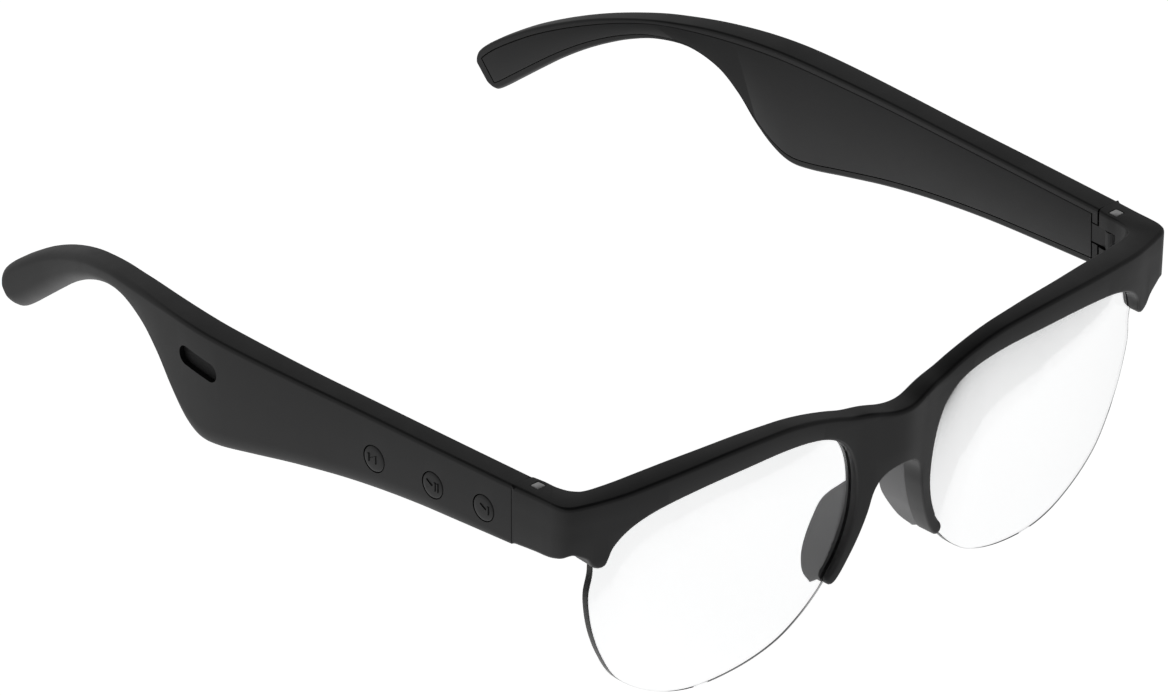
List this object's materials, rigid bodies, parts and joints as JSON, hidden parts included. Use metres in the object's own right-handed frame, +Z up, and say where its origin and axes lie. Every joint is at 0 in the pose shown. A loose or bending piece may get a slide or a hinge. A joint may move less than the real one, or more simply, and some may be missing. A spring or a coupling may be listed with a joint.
{
  "type": "smart glasses",
  "caption": "Half-rim glasses with clear lenses; deep folding temples hold buttons, a board, a battery and a small speaker that plays towards each ear.",
  "frame": {"origin": "centre of the overall box, level with the lowest point of the lenses", "axes": "+X to the wearer's left, +Y towards the back of the head, +Z up; the temples' upper edges are level"},
  "size_m": [0.149, 0.1659, 0.0494],
  "materials": {
    "black_plastic": "fine satin moulded nylon, black",
    "lens": "clear, coated",
    "silicone": "smoky soft silicone",
    "steel": "bright stainless steel",
    "board": "solder-masked laminate",
    "battery_foil": "silver pouch foil",
    "component": "dark moulded component case",
    "acoustic_mesh": "fine black acoustic mesh",
    "gold": "gold plating"
  },
  "bodies": {
    "front": {"front_frame": "black_plastic", "lens_left": "lens", "lens_right": "lens", "nose_pad_left": "silicone", "nose_pad_right": "silicone", "hinge_pin_left": "steel", "hinge_pin_right": "steel"},
    "temple_left": {"temple_shell_left": "black_plastic", "inner_cover_left": "black_plastic", "hinge_arm_left": "steel", "hinge_screw_left_1": "steel", "hinge_screw_left_2": "steel", "circuit_board_left": "board", "battery_left": "battery_foil", "speaker_left": "component", "vent_mesh_left": "acoustic_mesh"},
    "temple_right": {"temple_shell_right": "black_plastic", "inner_cover_right": "black_plastic", "hinge_arm_right": "steel", "hinge_screw_right_1": "steel", "hinge_screw_right_2": "steel", "circuit_board_right": "board", "battery_right": "battery_foil", "speaker_right": "component", "vent_mesh_right": "acoustic_mesh", "switch_next": "component", "switch_play": "component", "switch_previous": "component", "microphone": "component", "charge_contact_1": "gold", "charge_contact_2": "gold"},
    "next_button": {"button_next": "black_plastic"},
    "play_button": {"button_play": "black_plastic"},
    "previous_button": {"button_previous": "black_plastic"}
  },
  "joints": [
    {"name": "fold_left", "type": "hinge", "parent": "front", "child": "temple_left", "pos_m": [0.06965, -0.063, 0.0476], "axis": [0, 0, 1], "range_deg": [0, 70]},
    {"name": "fold_right", "type": "hinge", "parent": "front", "child": "temple_right", "pos_m": [-0.06965, -0.063, 0.0476], "axis": [0, 0, -1], "range_deg": [0, 86.2]},
    {"name": "press_next", "type": "slide", "parent": "temple_right", "child": "next_button", "axis": [1, 0, 0], "range_m": [0, 0.0003], "stiffness_N_per_m": 4000, "springref_m": -0.0002},
    {"name": "press_play", "type": "slide", "parent": "temple_right", "child": "play_button", "axis": [1, 0, 0], "range_m": [0, 0.0003], "stiffness_N_per_m": 4000, "springref_m": -0.0002},
    {"name": "press_previous", "type": "slide", "parent": "temple_right", "child": "previous_button", "axis": [1, 0, 0], "range_m": [0, 0.0003], "stiffness_N_per_m": 4000, "springref_m": -0.0002}
  ]
}
